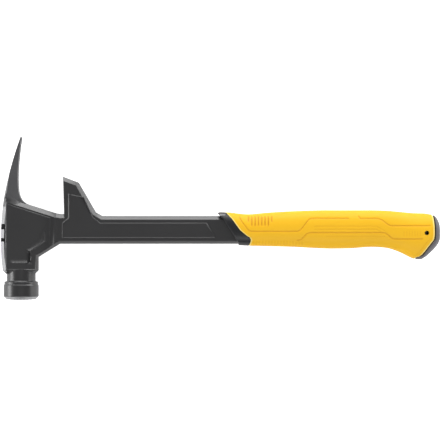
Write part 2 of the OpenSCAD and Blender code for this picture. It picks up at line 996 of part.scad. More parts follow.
// Half width of the grip at x, for what is cut into its cheeks
function grip_half_at(x) = grip_body_size((x - grip_x) / grip_length)[2];

module thumb_groove_cuts() {
    for (i = [0 : thumb_grooves - 1], side = [1, -1]) {
        x = grip_x + thumb_start + i * thumb_pitch;
        translate([x, thumb_y, side * (grip_half_at(x) + thumb_r - thumb_depth)])
            rotate([90, 0, 0])
                cylinder(r = thumb_r, h = thumb_length, center = true, $fn = round_sides);
    }
}

module butt_cap() {
    color([0.16, 0.16, 0.16])
        in_place()
            union() {
                intersection() {
                    grip_form(0);
                    cap_zone();
                }
                cap_spigot(0);
            }
}

head_forging();
shank_forging();
neck_weld();
nail_start_magnet();
grip_core();
soft_grip();
butt_cap();
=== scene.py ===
# %% [markdown]
# # A framing hammer, finished in Blender
#
# The hammer lies flat on its side: a forged head with a long claw, a steel shank with a jaw cut
# into it, and a yellow soft grip between a black collar and a dark butt cap. Its solids come
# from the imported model, in metres. This file gives each piece its edges, its fine relief and
# its finish, then lights it and sets the camera.

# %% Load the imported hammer
import math

import bmesh
import bpy
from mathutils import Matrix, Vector
from mathutils.bvhtree import BVHTree


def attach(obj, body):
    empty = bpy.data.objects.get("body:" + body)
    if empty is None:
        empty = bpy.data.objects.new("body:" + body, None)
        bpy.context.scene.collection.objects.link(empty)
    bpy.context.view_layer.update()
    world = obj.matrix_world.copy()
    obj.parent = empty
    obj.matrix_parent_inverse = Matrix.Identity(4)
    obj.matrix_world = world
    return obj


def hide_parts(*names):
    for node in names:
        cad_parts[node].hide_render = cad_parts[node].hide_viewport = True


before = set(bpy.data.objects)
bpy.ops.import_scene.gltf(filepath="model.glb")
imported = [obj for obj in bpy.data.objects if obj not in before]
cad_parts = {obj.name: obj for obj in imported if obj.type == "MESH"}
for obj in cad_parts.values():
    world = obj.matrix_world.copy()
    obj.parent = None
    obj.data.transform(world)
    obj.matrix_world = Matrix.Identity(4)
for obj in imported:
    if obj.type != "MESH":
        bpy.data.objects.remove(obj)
scene = bpy.context.scene
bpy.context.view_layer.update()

# %% [markdown]
# ## One way to say where things are
#
# A hammer is easiest to measure from its own lines: how far back from the crown of the head, how
# far above or below the middle line of the shank, and how far out from the middle of its
# thickness. The helper below turns such a place, in millimetres, into a point of the scene.

# %% From the hammer's own lines to the scene
OVERALL_LENGTH = 406.0
SHANK_LINE_Y = -10.5
MIDDLE_Z = 16.25
MM = 0.001


def place(x, y, z):
    """x from the crown, y above the shank's middle line, z out from the middle, in mm."""
    return Vector(((x - OVERALL_LENGTH / 2) * MM, (y + SHANK_LINE_Y) * MM, (z + MIDDLE_Z) * MM))


def add_piece(name, bm, materials, node=None):
    """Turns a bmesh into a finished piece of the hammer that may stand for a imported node."""
    mesh = bpy.data.meshes.new(name)
    bm.to_mesh(mesh)
    bm.free()
    piece = bpy.data.objects.new(name, mesh)
    scene.collection.objects.link(piece)
    for material in materials:
        mesh.materials.append(material)
    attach(piece, "root")
    if node:
        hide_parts(node)
    return piece


print("the tips of the claw lie near", [round(v, 4) for v in place(18.4, 86.0, 0.0)])

# %% [markdown]
# ## Small helpers for shader nodes
#
# A finish is a chain of nodes, and most links in it are plain sums or ramps. These two helpers add
# one such node, feed it with sockets or with numbers, and hand back its output, so that a chain
# below reads like the sum that it is.

# %% Add a sum or a ramp
def add_math(tree, operation, *values):
    """A Math node fed with sockets or plain numbers. Returns its output."""
    node = tree.nodes.new("ShaderNodeMath")
    node.operation = operation
    for socket, value in zip(node.inputs, values):
        if isinstance(value, bpy.types.NodeSocket):
            tree.links.new(value, socket)
        else:
            socket.default_value = value
    return node.outputs[0]


def add_ramp(tree, source, span, result=(0.0, 1.0), kind="LINEAR"):
    """A value that goes from result[0] to result[1] while the source crosses the span."""
    ramp = tree.nodes.new("ShaderNodeMapRange")
    ramp.interpolation_type = kind
    for label, value in zip(("From Min", "From Max", "To Min", "To Max"), (*span, *result)):
        ramp.inputs[label].default_value = value
    tree.links.new(source, ramp.inputs["Value"])
    return ramp.outputs["Result"]


print("helpers ready:", add_math.__name__, "and", add_ramp.__name__)

# %% [markdown]
# ## Fine grain, shared by all finishes
#
# Paint over a forging, moulded plastic and rubber all have a fine grain that breaks up the light.
# It is the same effect at other sizes and depths, so it is a node group with named inputs, built
# once. It puts out a bump height and a slow change of tone. An image could do this too, but a
# procedural grain needs no file and never repeats.

# %% Build the grain group
GRAIN_INPUTS = [("Grain Size", 2500.0), ("Mottle Size", 60.0), ("Mottle Depth", 0.1)]


def build_grain():
    group = bpy.data.node_groups.new("surface_grain", "ShaderNodeTree")
    for label, value in GRAIN_INPUTS:
        socket = group.interface.new_socket(label, in_out="INPUT", socket_type="NodeSocketFloat")
        socket.default_value = value
    for label in ("Height", "Tone"):
        group.interface.new_socket(label, in_out="OUTPUT", socket_type="NodeSocketFloat")
    nodes, links = group.nodes, group.links
    start, end = nodes.new("NodeGroupInput"), nodes.new("NodeGroupOutput")
    coordinates = nodes.new("ShaderNodeTexCoord")
    grain = nodes.new("ShaderNodeTexNoise")
    grain.inputs["Detail"].default_value = 3.0
    grain.inputs["Roughness"].default_value = 0.6
    mottle = nodes.new("ShaderNodeTexNoise")
    mottle.inputs["Detail"].default_value = 2.0
    for noise, size in ((grain, "Grain Size"), (mottle, "Mottle Size")):
        links.new(coordinates.outputs["Object"], noise.inputs["Vector"])
        links.new(start.outputs[size], noise.inputs["Scale"])
    centred = add_math(group, "SUBTRACT", mottle.outputs["Fac"], 0.5)
    tone = add_math(group, "MULTIPLY_ADD", centred, start.outputs["Mottle Depth"], 1.0)
    links.new(grain.outputs["Fac"], end.inputs["Height"])
    links.new(tone, end.inputs["Tone"])
    return group


grain_group = build_grain()
print("grain group takes", [s.name for s in grain_group.interface.items_tree if s.in_out == "INPUT"])

# %% [markdown]
# ## A base for every finish
#
# Each finish starts the same way: a Principled BSDF with one colour, the grain as a very shallow
# bump, and the slow tone change multiplied into the colour, so that no wide face is one flat
# value. What differs is the colour, the roughness and the size of the grain.

# %% The base finish
def base_finish(name, colour, roughness, grain, mottle=(60.0, 0.1), also=None):
    """Grain is its size and depth in mm, mottle its size and strength, also is more sockets.

    Returns the material, its shader and the socket that carries its colour."""
    material = bpy.data.materials.new(name)
    material.use_nodes = True
    nodes, links = material.node_tree.nodes, material.node_tree.links
    shader = nodes["Principled BSDF"]
    shader.inputs["Roughness"].default_value = roughness
    for label, value in (also or {}).items():
        shader.inputs[label].default_value = value
    surface = nodes.new("ShaderNodeGroup")
    surface.node_tree = grain_group
    for (label, _), value in zip(GRAIN_INPUTS, (grain[0], *mottle)):
        surface.inputs[label].default_value = value
    bump = nodes.new("ShaderNodeBump")
    bump.inputs["Strength"].default_value = 1.0
    bump.inputs["Distance"].default_value = grain[1] * MM
    links.new(surface.outputs["Height"], bump.inputs["Height"])
    links.new(bump.outputs["Normal"], shader.inputs["Normal"])
    tint = nodes.new("ShaderNodeVectorMath")
    tint.operation = "SCALE"
    tint.inputs[0].default_value = colour
    links.new(surface.outputs["Tone"], tint.inputs["Scale"])
    links.new(tint.outputs["Vector"], shader.inputs["Base Color"])
    return material, shader, tint.outputs["Vector"]


print("a finish feeds the group's", [label for label, _ in GRAIN_INPUTS])

# %% [markdown]
# ## Black coated steel
#
# The forgings carry a thin satin black coat. It is nearly black seen square on, and shines on
# every slanted edge. A dielectric with middling roughness does that, and a rather high IOR makes
# the edges bright enough. The coat is not a metal, so Metallic stays at zero. The claw is a lighter
# grey, as if its coat were thinner. A mask in the material does that. It grows above the head's
# sloped top and fades away from the claw. The steel itself shows at the striking face and in the
# ground strip along the crown.

# %% Finishes for the steel pieces
COAT_COLOUR, COAT_IOR = (0.018, 0.018, 0.0192), 1.85
ACROSS_TOP = (0.318, 1.0, 0.0)
CLAW_LINE = (-0.0452, -0.0415)
CLAW_SIDE = (-0.165, -0.172)
CLAW_GAIN = 2.6


def lighter_on_claw(material, shader, colour):
    """Lightens the coat above the head's sloped top, on the claw's side of the head."""
    tree = material.node_tree
    spot = tree.nodes.new("ShaderNodeTexCoord").outputs["Object"]
    above = tree.nodes.new("ShaderNodeVectorMath")
    above.operation = "DOT_PRODUCT"
    above.inputs[1].default_value = ACROSS_TOP
    parts = tree.nodes.new("ShaderNodeSeparateXYZ")
    tree.links.new(spot, above.inputs[0])
    tree.links.new(spot, parts.inputs["Vector"])
    over_top = add_ramp(tree, above.outputs["Value"], CLAW_LINE, kind="SMOOTHSTEP")
    near_claw = add_ramp(tree, parts.outputs["X"], CLAW_SIDE, kind="SMOOTHSTEP")
    both = add_math(tree, "MULTIPLY", over_top, near_claw)
    amount = add_math(tree, "MULTIPLY_ADD", both, CLAW_GAIN, 1.0)
    scaled = tree.nodes.new("ShaderNodeVectorMath")
    scaled.operation = "SCALE"
    tree.links.new(colour, scaled.inputs[0])
    tree.links.new(amount, scaled.inputs["Scale"])
    tree.links.new(scaled.outputs["Vector"], shader.inputs["Base Color"])


coat_parts = base_finish(
    "coated_steel", COAT_COLOUR, 0.33, (1500.0, 0.012), (45.0, 0.3), {"IOR": COAT_IOR}
)
lighter_on_claw(*coat_parts)
coat_black = coat_parts[0]
weld_black = base_finish(
    "coated_weld", COAT_COLOUR, 0.38, (900.0, 0.02), (90.0, 0.3), {"IOR": COAT_IOR}
)[0]
bare_steel = base_finish(
    "bare_steel", (0.4, 0.4, 0.41), 0.36, (2200.0, 0.01), (120.0, 0.2), {"Metallic": 1.0}
)[0]
ground_steel = base_finish(
    "ground_steel", (0.28, 0.28, 0.285), 0.42, (1800.0, 0.012), (80.0, 0.3), {"Metallic": 0.9}
)[0]
magnet_plate = base_finish(
    "magnet_plate", (0.5, 0.5, 0.52), 0.25, (3000.0, 0.005), also={"Metallic": 1.0}
)[0]
steels = [coat_black, weld_black, bare_steel, ground_steel, magnet_plate]
print("steel finishes:", [finish.name for finish in steels])

# %% [markdown]
# ## Forged pieces with broken edges
#
# No forging has knife-sharp corners: the die and the grinder leave every edge slightly round, and
# that thin rounding is what catches the light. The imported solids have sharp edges, as loose
# triangles. A copy is merged, its flat faces are joined again, and every long sharp edge gets a
# narrow bevel. The operator keeps its width even, which a Bevel node in the material can't do for
# an exported model. The small milled teeth are left out, because their edges lie too close.

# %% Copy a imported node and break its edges
MERGE_DISTANCE = 0.004 * MM
FLAT_WITHIN = math.radians(0.4)
BROKEN, BROKEN_RING = (0.45, 33, 1.2), (0.3, 20, 0.5)
LEVEL_WITHIN = 0.05


def drawn(co):
    """The inverse of place: x from the crown, y above the shank's line, z from the middle, mm."""
    return co.x / MM + OVERALL_LENGTH / 2, co.y / MM - SHANK_LINE_Y, co.z / MM - MIDDLE_Z


def merged_copy(node):
    bm = bmesh.new()
    bm.from_mesh(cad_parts[node].data)
    bmesh.ops.remove_doubles(bm, verts=bm.verts, dist=MERGE_DISTANCE)
    bmesh.ops.dissolve_degenerate(bm, dist=MERGE_DISTANCE, edges=bm.edges)
    bmesh.ops.dissolve_limit(
        bm, angle_limit=FLAT_WITHIN, verts=bm.verts, edges=bm.edges, use_dissolve_boundaries=False
    )
    return bm


def break_edges(bm, width_mm, sharper, shortest_mm, wanted):
    """Bevels the sharp edges that pass the test, which is given both ends of an edge.

    Sharper is the least angle in degrees. Returns how many edges were chosen."""
    chosen = [
        edge
        for edge in bm.edges
        if len(edge.link_faces) == 2
        and edge.calc_face_angle() > math.radians(sharper)
        and edge.calc_length() > shortest_mm * MM
        and wanted(drawn(edge.verts[0].co), drawn(edge.verts[1].co))
    ]
    bmesh.ops.bevel(
        bm, geom=chosen, offset=width_mm * MM, offset_type="OFFSET", affect="EDGES", segments=2,
        profile=0.5, material=-1, clamp_overlap=True,
    )
    return len(chosen)


def smooth_by_angle(piece, degrees, weighted=False):
    """Shades round stretches smooth and keeps corners crisp. Weighted evens out wide faces."""
    mesh = piece.data
    mesh.polygons.foreach_set("use_smooth", [True] * len(mesh.polygons))
    mesh.set_sharp_from_angle(angle=math.radians(degrees))
    if weighted:
        piece.modifiers.new("even shading", "WEIGHTED_NORMAL").keep_sharp = True


print("the shank's packed solid has", len(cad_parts["shank_forging"].data.polygons), "faces")

# %% [markdown]
# ## Rounded sides for the raised fields
#
# The raised fields on the cheeks and the shank are forged, and a forging can't have upright
# walls: the die needs draft and round corners to let go of it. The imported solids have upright
# walls, so a skirt runs round each field. Its section starts level with the field and curves
# down to the rim, which is what makes the thin light lines round the fields. Each edge has its own
# reach, and each corner a slant, which makes the wall straighter there.

# %% Skirt round a field
CURVE_STEPS = 7
TUCK, LIFT, SINK = 0.3, 0.01, 0.4
PARALLEL = 0.02


def moved_outward(outline, reaches):
    """The outline with each edge moved outward by its own reach."""
    pairs = list(zip(outline, outline[1:] + outline[:1]))
    turn = 1 if sum(ax * by - bx * ay for (ax, ay), (bx, by) in pairs) > 0 else -1
    outward = []
    for (ax, ay), (bx, by) in pairs:
        size = math.hypot(bx - ax, by - ay)
        outward.append((turn * (by - ay) / size, -turn * (bx - ax) / size))
    moved = []
    for i, (x, y) in enumerate(outline):
        (ax, ay), (bx, by) = outward[i - 1], outward[i]
        a_reach, b_reach = reaches[i - 1], reaches[i]
        cross = ax * by - ay * bx
        if abs(cross) < PARALLEL:
            step = (bx * b_reach, by * b_reach)
        else:
            step = ((a_reach * by - b_reach * ay) / cross, (ax * b_reach - bx * a_reach) / cross)
        moved.append((x + step[0], y + step[1]))
    return moved


def join_rings(bm, first, second):
    """Makes the faces between two closed rings of points."""
    for j in range(len(first)):
        k = (j + 1) % len(first)
        bm.faces.new((first[j], first[k], second[k], second[j]))


def add_skirt(bm, outline, reaches, slants, top_of, foot_of):
    """Adds the ring on both cheeks. A slant of 0 is a round edge, 1 a straight slope."""
    outer = moved_outward(outline, reaches)
    tucked = moved_outward(outline, [-TUCK] * len(outline))
    for side in (1, -1):
        rings = []
        for inner, out, tuck, slant in zip(outline, outer, tucked, slants):
            top, foot = top_of(*inner) + LIFT, foot_of(*out)
            section = []
            for step in range(CURVE_STEPS):
                turn = math.pi / 2 * step / (CURVE_STEPS - 1)
                along = math.sin(turn)
                x = inner[0] + (out[0] - inner[0]) * along
                y = inner[1] + (out[1] - inner[1]) * along
                fall = (1 - slant) * (1 - math.cos(turn)) + slant * along
                section.append((x, y, top - (top - foot) * fall))
            section += [(*out, foot - SINK), (*tuck, foot - SINK), (*tuck, top)]
            rings.append([bm.verts.new(place(x, y, side * z)) for x, y, z in section])
        for i, ring in enumerate(rings):
            join_rings(bm, ring, rings[(i + 1) % len(rings)])


square = [(0, 0), (10, 0), (10, 10), (0, 10)]
print("a 10 mm square moved out by 1 mm:", moved_outward(square, [1.0] * 4))

# %% [markdown]
# ## The lines of the head
#
# The head is a block with a sloped top that runs out into the claw, a heel toward the poll, and
# cheeks that taper back to the weld. The raised field on each cheek follows the same lines a few
# millimetres inside them, so it is listed from them.

# %% Lines and field of the head
HEEL_Y, NECK_BEND, TAPER = -40.5, 34.4, 5.0 / 16.6
SADDLE_SLOPE, THROAT_SLOPE = 0.318, 0.607
CHEEK_TOP, CHEEK_RIM = 12.7, 11.6
WELD_START = 47.8
FACE_Y = -65.0
POLL_X, NECK_FOOT = 18.5, -47.7


def saddle_y(x):
    return 30.6 - SADDLE_SLOPE * (x - 3.2)


def throat_line_y(x):
    return -25.1 + THROAT_SLOPE * (x - NECK_BEND)


def cheek_top(x, y):
    return CHEEK_TOP - TAPER * max(0.0, x - NECK_BEND)


def cheek_rim(x, y):
    return CHEEK_RIM - TAPER * max(0.0, x - NECK_BEND)


CHEEK_REACHES = [0.9, 1.6, 1.2, 1.2, 1.2, 0.3, 0.9, 0.9]
CHEEK_SLANTS = [0.0, 0.4, 0.4, 0.0, 0.0, 0.0, 0.0, 0.0]
CHEEK_FIELD = [
    (5.6, saddle_y(5.6) - 6.4), (5.6, HEEL_Y + 4.6), (31.8, HEEL_Y + 4.6), (31.8, -22.5),
    (34.4, throat_line_y(34.4) + 3.1), (45.4, throat_line_y(45.4) + 3.1),
    (45.4, saddle_y(45.4) - 6.4), (34.4, saddle_y(34.4) - 6.4),
]
print("the field on the cheek starts at", [round(v, 1) for v in CHEEK_FIELD[0]])

# %% [markdown]
# ## A turned neck and the run-out of the claw
#
# The neck between the block and the poll is turned on a lathe. One profile, spun round the poll's
# axis, gives it an even surface, while the uneven faces of the merged copy would shade blotchy.
# The sloped top runs out into the claw's sides, where a forging die has a large radius. That blend
# is a strip of sections that get narrower along the slope. For each one, a ray finds how far out
# the claw's side lies.

# %% Neck and blend
NECK_RADIUS, NECK_TOP, NECK_STRAIGHT, NECK_RINGS, NECK_TURNS = 13.3, 3.2, 9.2, 6, 96
NECK_SHOULDER = [(12.3, 4.1), (12.9, 4.0), (13.25, 3.7)]
NECK_FILLET = [(13.4, 0.6), (13.65, 0.25), (14.1, 0.05)]
SADDLE_CHAMFER = 4.09
BLEND_START, BLEND_END, BLEND_WIDTH, CLAW_LEAN = 4.6, 17.5, 7.0, 0.25
BLEND_STEPS, BLEND_ROWS, BLEND_TAPER, BLEND_CURVE = 14, 8, 1.4, 0.6
END_SINK, START_SINK, BLEND_LIFT, BLEND_BED = 0.35, 0.3, 0.02, 1.0
ABOVE_ALL = 40.0


def add_neck(bm):
    """A turned neck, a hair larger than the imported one, with a soft shoulder under the cheeks."""
    profile = [(radius, HEEL_Y + rise) for radius, rise in NECK_SHOULDER]
    profile += [
        (NECK_RADIUS, HEEL_Y + NECK_TOP - NECK_STRAIGHT * i / NECK_RINGS)
        for i in range(NECK_RINGS + 1)
    ]
    profile += [(radius, NECK_FOOT + rise) for radius, rise in NECK_FILLET]
    verts = [bm.verts.new(place(POLL_X + radius, y, 0.0)) for radius, y in profile]
    edges = [bm.edges.new(pair) for pair in zip(verts, verts[1:])]
    bmesh.ops.spin(
        bm, geom=verts + edges, cent=place(POLL_X, 0.0, 0.0), axis=(0.0, 1.0, 0.0),
        angle=2 * math.pi, steps=NECK_TURNS, use_merge=True,
    )


def add_claw_blend(bm):
    """Lets the sloped top run out into the claw's sides, on both cheeks."""
    surface = BVHTree.FromBMesh(bm)
    for side in (1, -1):
        rows = []
        for step in range(BLEND_STEPS + 1):
            x = BLEND_START + (BLEND_END - BLEND_START) * step / BLEND_STEPS
            fade = 1 - step / BLEND_STEPS
            low = saddle_y(x) - SADDLE_CHAMFER
            high = saddle_y(x) + BLEND_WIDTH * fade**BLEND_TAPER
            lean = CLAW_LEAN * fade * (high - low)
            above = place(x + lean, high, side * ABOVE_ALL)
            hit = surface.ray_cast(above, Vector((0.0, 0.0, -side)))[0]
            sink = END_SINK * (1 - fade) ** 4 + START_SINK * fade**10
            top, foot = CHEEK_RIM - sink, side * drawn(hit)[2] - sink
            row = []
            for i in range(BLEND_ROWS + 1):
                t = i / BLEND_ROWS
                fall = 1 - (1 - t) ** (1 + BLEND_CURVE * fade)
                height = top + (foot - top) * fall + BLEND_LIFT
                row.append((x + lean * t, low + (high - low) * t, height))
            row += [(x + lean, high, foot - BLEND_BED), (x, low, foot - BLEND_BED)]
            rows.append([bm.verts.new(place(a, b, side * c)) for a, b, c in row])
        for first, second in zip(rows, rows[1:]):
            join_rings(bm, first, second)
        bm.faces.new(rows[0])
        bm.faces.new(rows[-1])


print("the neck is", 2 * NECK_RADIUS, "mm across, the blend", BLEND_END - BLEND_START, "mm long")

# %% [markdown]
# ## The head
#
# Every sharp edge of the head gets a narrow bevel, but not near the welded end, which was ground
# flush, nor round the turned neck, nor on the milled teeth. The slanted strip along the crown is
# ground bare, and so are the milled face and the bevel round it, because paint would not last
# there.

# %% Head
BARE_DEPTH, CROWN_STRIP = 3.4, 5.2
NECK_REACH, NECK_UP = 13.5, HEEL_Y + 4
RINGS_LOW, RINGS_HIGH = FACE_Y + 3.3, HEEL_Y - 4.0


def on_open_forging(a, b):
    near_weld = min(a[0], b[0]) > WELD_START - 0.2
    level_a, level_b = abs(abs(a[2]) - cheek_top(*a[:2])), abs(abs(b[2]) - cheek_top(*b[:2]))
    on_field = max(level_a, level_b) < LEVEL_WITHIN
    round_neck = any(math.hypot(p[0] - POLL_X, p[2]) < NECK_REACH and p[1] < NECK_UP for p in (a, b))
    return min(a[1], b[1]) > HEEL_Y - 0.2 and not (near_weld or on_field or round_neck)


def on_poll_rings(a, b):
    return all(RINGS_LOW < p[1] < RINGS_HIGH for p in (a, b))


head_bm = merged_copy("head_forging")
narrow = break_edges(head_bm, *BROKEN, on_open_forging)
rings = break_edges(head_bm, *BROKEN_RING, on_poll_rings)
add_skirt(head_bm, CHEEK_FIELD, CHEEK_REACHES, CHEEK_SLANTS, cheek_top, cheek_rim)
add_neck(head_bm)
add_claw_blend(head_bm)
bmesh.ops.recalc_face_normals(head_bm, faces=head_bm.faces)
for face in head_bm.faces:
    x, y, z = drawn(face.calc_center_median())
    slanted = face.normal.x < -0.5 and abs(face.normal.z) > 0.35
    if y < FACE_Y + BARE_DEPTH:
        face.material_index = 1
    elif slanted and x < CROWN_STRIP and y > HEEL_Y:
        face.material_index = 2
head_finishes = [coat_black, bare_steel, ground_steel]
head = add_piece("head", head_bm, head_finishes, "head_forging")
smooth_by_angle(head, 30, weighted=True)
print("the head has", narrow, "narrow and", rings, "round broken edges")

# %% [markdown]
# ## The shank, the weld and the magnet
#
# The shank is treated the same way, with a skirt round the field that covers it and climbs into
# the hook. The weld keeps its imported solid, since it is ground flush and shows only as a slightly
# duller band, and so does the magnet, which sits in its pocket.

# %% Shank, weld and magnet
SHANK_TOP, SHANK_RIM = 7.5, 6.6
SHANK_WELD_END = 51.3
SHANK_FIELD = [
    (57.5, -6.5), (59.0, -6.5), (196.5, -6.5), (189.5, 5.9), (91.7, 5.9), (84.7, 11.3),
    (76.4, 29.8), (67.0, 31.7), (63.4, 32.4), (63.4, 10.7), (57.5, 5.9),
]
SHANK_REACHES = [1.2, 1.2, 1.2, 0.8, 0.8, 0.8, 0.8, 0.8, 1.2, 1.2, 1.2]
SHANK_SLANTS = [0.8, 0.0, 0.0, 0.0, 0.0, 0.0, 0.0, 0.0, 0.8, 0.8, 0.8]


def on_open_shank(a, b):
    near_weld = max(a[0], b[0]) < SHANK_WELD_END
    on_field = all(abs(abs(p[2]) - SHANK_TOP) < LEVEL_WITHIN for p in (a, b))
    return not (near_weld or on_field)


shank_bm = merged_copy("shank_forging")
narrow = break_edges(shank_bm, *BROKEN, on_open_shank)
add_skirt(
    shank_bm, SHANK_FIELD, SHANK_REACHES, SHANK_SLANTS,
    lambda x, y: SHANK_TOP, lambda x, y: SHANK_RIM,
)
bmesh.ops.recalc_face_normals(shank_bm, faces=shank_bm.faces)
shank = add_piece("shank", shank_bm, [coat_black], "shank_forging")
smooth_by_angle(shank, 30, weighted=True)
print("the shank has", narrow, "narrow broken edges")

for node, finish in (("neck_weld", weld_black), ("nail_start_magnet", magnet_plate)):
    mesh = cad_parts[node].data
    mesh.materials.clear()
    mesh.materials.append(finish)

# %% [markdown]
# ## The grip's form
#
# The grip is one long moulding whose section is a rounded box that swells, narrows at the waist
# and drops to a heel at the butt. It is described by stations along its length: how far it
# reaches above and below the shank's line, and how wide it is. A smooth curve runs through the
# stations, so a ring of points can be asked for anywhere. The collar, the soft cover and the cap
# are all cut from this one form, which is why their surfaces flow into each other.

# %% Stations of the grip and a ring anywhere along it
GRIP_START = 202.0
GRIP_LENGTH = 204.0
GRIP_RISE, BUTT_DROP, BUTT_WIDTH = 18.2, 27.4, 32.0
COVER_WALL = 2.8
SQUARENESS = 2.7
GRIP_STATIONS = [
    (0.000, 0.905, 0.500, 0.80),
    (0.045, 0.890, 0.510, 0.81),
    (0.090, 0.830, 0.520, 0.82),
    (0.135, 0.797, 0.535, 0.83),
    (0.220, 0.880, 0.551, 0.86),
    (0.330, 0.951, 0.573, 0.90),
    (0.465, 1.000, 0.625, 0.92),
    (0.520, 1.000, 0.631, 0.92),
    (0.600, 1.000, 0.620, 0.90),
    (0.690, 1.000, 0.577, 0.89),
    (0.765, 0.973, 0.620, 0.91),
    (0.820, 0.918, 0.759, 0.94),
    (0.870, 0.865, 0.940, 0.98),
    (0.900, 0.850, 0.999, 1.00),
    (0.930, 0.840, 0.950, 1.00),
    (0.957, 0.797, 0.765, 0.99),
]
BODY_END = GRIP_START + GRIP_LENGTH * GRIP_STATIONS[-1][0]
END_RISE, END_DROP, END_FALL, END_HALF = 1, 8, 0.6, 0.5


def station_slope(i, column):
    low, high = max(i - 1, 0), min(i + 1, len(GRIP_STATIONS) - 1)
    rise = GRIP_STATIONS[high][column] - GRIP_STATIONS[low][column]
    return rise / (GRIP_STATIONS[high][0] - GRIP_STATIONS[low][0])


def smooth_station(share, column):
    i = 0
    while i < len(GRIP_STATIONS) - 2 and GRIP_STATIONS[i + 1][0] < share:
        i += 1
    span = GRIP_STATIONS[i + 1][0] - GRIP_STATIONS[i][0]
    t = (share - GRIP_STATIONS[i][0]) / span
    low, high = GRIP_STATIONS[i][column], GRIP_STATIONS[i + 1][column]
    low_slope, high_slope = station_slope(i, column) * span, station_slope(i + 1, column) * span
    return (
        low * (2 * t**3 - 3 * t**2 + 1)
        + low_slope * (t**3 - 2 * t**2 + t)
        + high * (3 * t**2 - 2 * t**3)
        + high_slope * (t**3 - t**2)
    )


def grip_size(x):
    """Rise, drop and half width of the grip at x."""
    share = min(max((x - GRIP_START) / GRIP_LENGTH, 0.0), GRIP_STATIONS[-1][0])
    rise = GRIP_RISE * smooth_station(share, 1)
    drop = BUTT_DROP * smooth_station(share, 2)
    half = BUTT_WIDTH / 2 * smooth_station(share, 3)
    if x > BODY_END:
        end = min((x - BODY_END) / (OVERALL_LENGTH - BODY_END), 1.0)
        rise = END_RISE + (rise - END_RISE) * math.sqrt(1 - end**2)
        drop = END_DROP + (drop - END_DROP) * (1 - end) ** END_FALL
        half = half * (END_HALF + (1 - END_HALF) * math.sqrt(1 - end**4))
    return rise, drop, half


middle_width = 2 * grip_size(GRIP_START + GRIP_LENGTH / 2)[2]
print("the grip is", round(middle_width, 1), "mm wide in the middle of its length")

# %% [markdown]
# ## Rings with more points on the cheeks
#
# The cheeks carry the fine relief, so the ring has many evenly spaced points there and fewer over
# the top and under the bottom. Each point is kept as two shares, one up and down and one across,
# and lands on the form once it is multiplied by the sizes at its place along the grip. The cap
# does with a plain ring, and the collar gets a dense one later, for the facets of its lip.

# %% One ring, as shares of the grip's size
CHEEK_REACH = 0.82
CHEEK_STEPS = 66
ROUND_STEPS = 22


def other_share(share):
    return (1 - min(abs(share), 1.0) ** SQUARENESS) ** (1 / SQUARENESS)


def ring_shares(cheek_steps, round_steps):
    side = other_share(CHEEK_REACH)
    ring = []
    for i in range(cheek_steps):
        up = -CHEEK_REACH + 2 * CHEEK_REACH * i / cheek_steps
        ring.append((up, other_share(up)))
    for i in range(round_steps):
        across = side * (1 - 2 * i / round_steps)
        ring.append((other_share(across), across))
    return ring + [(-up, -across) for up, across in ring]


fine_ring = ring_shares(CHEEK_STEPS, ROUND_STEPS)
plain_ring = ring_shares(20, 14)
print("a fine ring has", len(fine_ring), "points, a plain one", len(plain_ring))

# %% [markdown]
# ## Where the collar and the cap meet the cover
#
# Seen from the side, the collar ends in a long slanted line with a small hooked foot, and the cap
# in a line that follows the butt. Both lines give one place along the grip for each height, so
# the cover can be stretched exactly between them. The collar's front is listed the same way. A
# point whose place depends on its own height is found in a few small steps.

# %% Front of the collar and the two parting lines
SETTLE_STEPS, SETTLED = 24, 0.002
COLLAR_FRONT = [
    (200.3, 19.4), (200.5, 15.4), (202.9, 12.6), (206.4, 9.5), (219.5, -12.1), (219.5, -19.4),
]
COLLAR_BACK = [
    (205.5, 19.4), (206.7, 17.5), (213.7, 10.1), (221.0, 0.0), (227.4, -5.4),
    (230.2, -7.0), (231.2, -9.3), (230.3, -12.6), (226.8, -19.4),
]
CAP_LINE = [
    (396.6, 19.2), (398.1, 16.0), (399.6, 11.2), (400.5, 3.0), (400.6, -4.6),
    (399.9, -8.9), (388.4, -23.7), (383.0, -25.6), (377.2, -38.4),
]


def line_at(line, y):
    """Place along the grip of a parting line at height y. The line is listed from the top."""
    if y >= line[0][1]:
        return line[0][0]
    for (x1, y1), (x2, y2) in zip(line, line[1:]):
        if y >= y2:
            return x1 + (x2 - x1) * (y1 - y) / (y1 - y2)
    return line[-1][0]


def skin_point(x_of_y, up, across, inset=0.0, shrink=1.0):
    """A point on the grip's form, drawn in by inset, where its place along depends on height."""
    x = x_of_y(0.0)
    for _ in range(SETTLE_STEPS):
        rise, drop, half = grip_size(x)
        tall = (rise + drop) / 2 - inset
        y = (rise - drop) / 2 + tall * up * shrink
        step = x_of_y(y) - x
        x += 0.5 * step
        if abs(step) < SETTLED:
            break
    return x, y, (half - inset) * across * shrink


def skin_normal(x, up, across):
    rise, drop, half = grip_size(x)
    tall = (rise + drop) / 2
    ny = math.copysign(abs(up) ** (SQUARENESS - 1), up) / tall
    nz = math.copysign(abs(across) ** (SQUARENESS - 1), across) / half
    size = math.hypot(ny, nz) or 1.0
    return ny / size, nz / size


print("the collar's line crosses the shank's line at", round(line_at(COLLAR_BACK, 0.0), 1), "mm")

# %% [markdown]
# ## Rolling a sheet into a tube
#
# A flat grid is the quickest start for a tube with even quads: one direction becomes the length,
# the other goes round, and its two long edges are merged. Every row is told where it lies along
# the piece and how far it is drawn in, so the same helper makes a collar, a cover and a cap. The
# first and last rows shrink toward the middle line, where the last small openings are filled.

# %% Roll a grid into a closed shell
JOIN_DISTANCE = 0.001 * MM
CLOSING = (0.8, 0.4, 0.1)
CLOSED = CLOSING[-1]


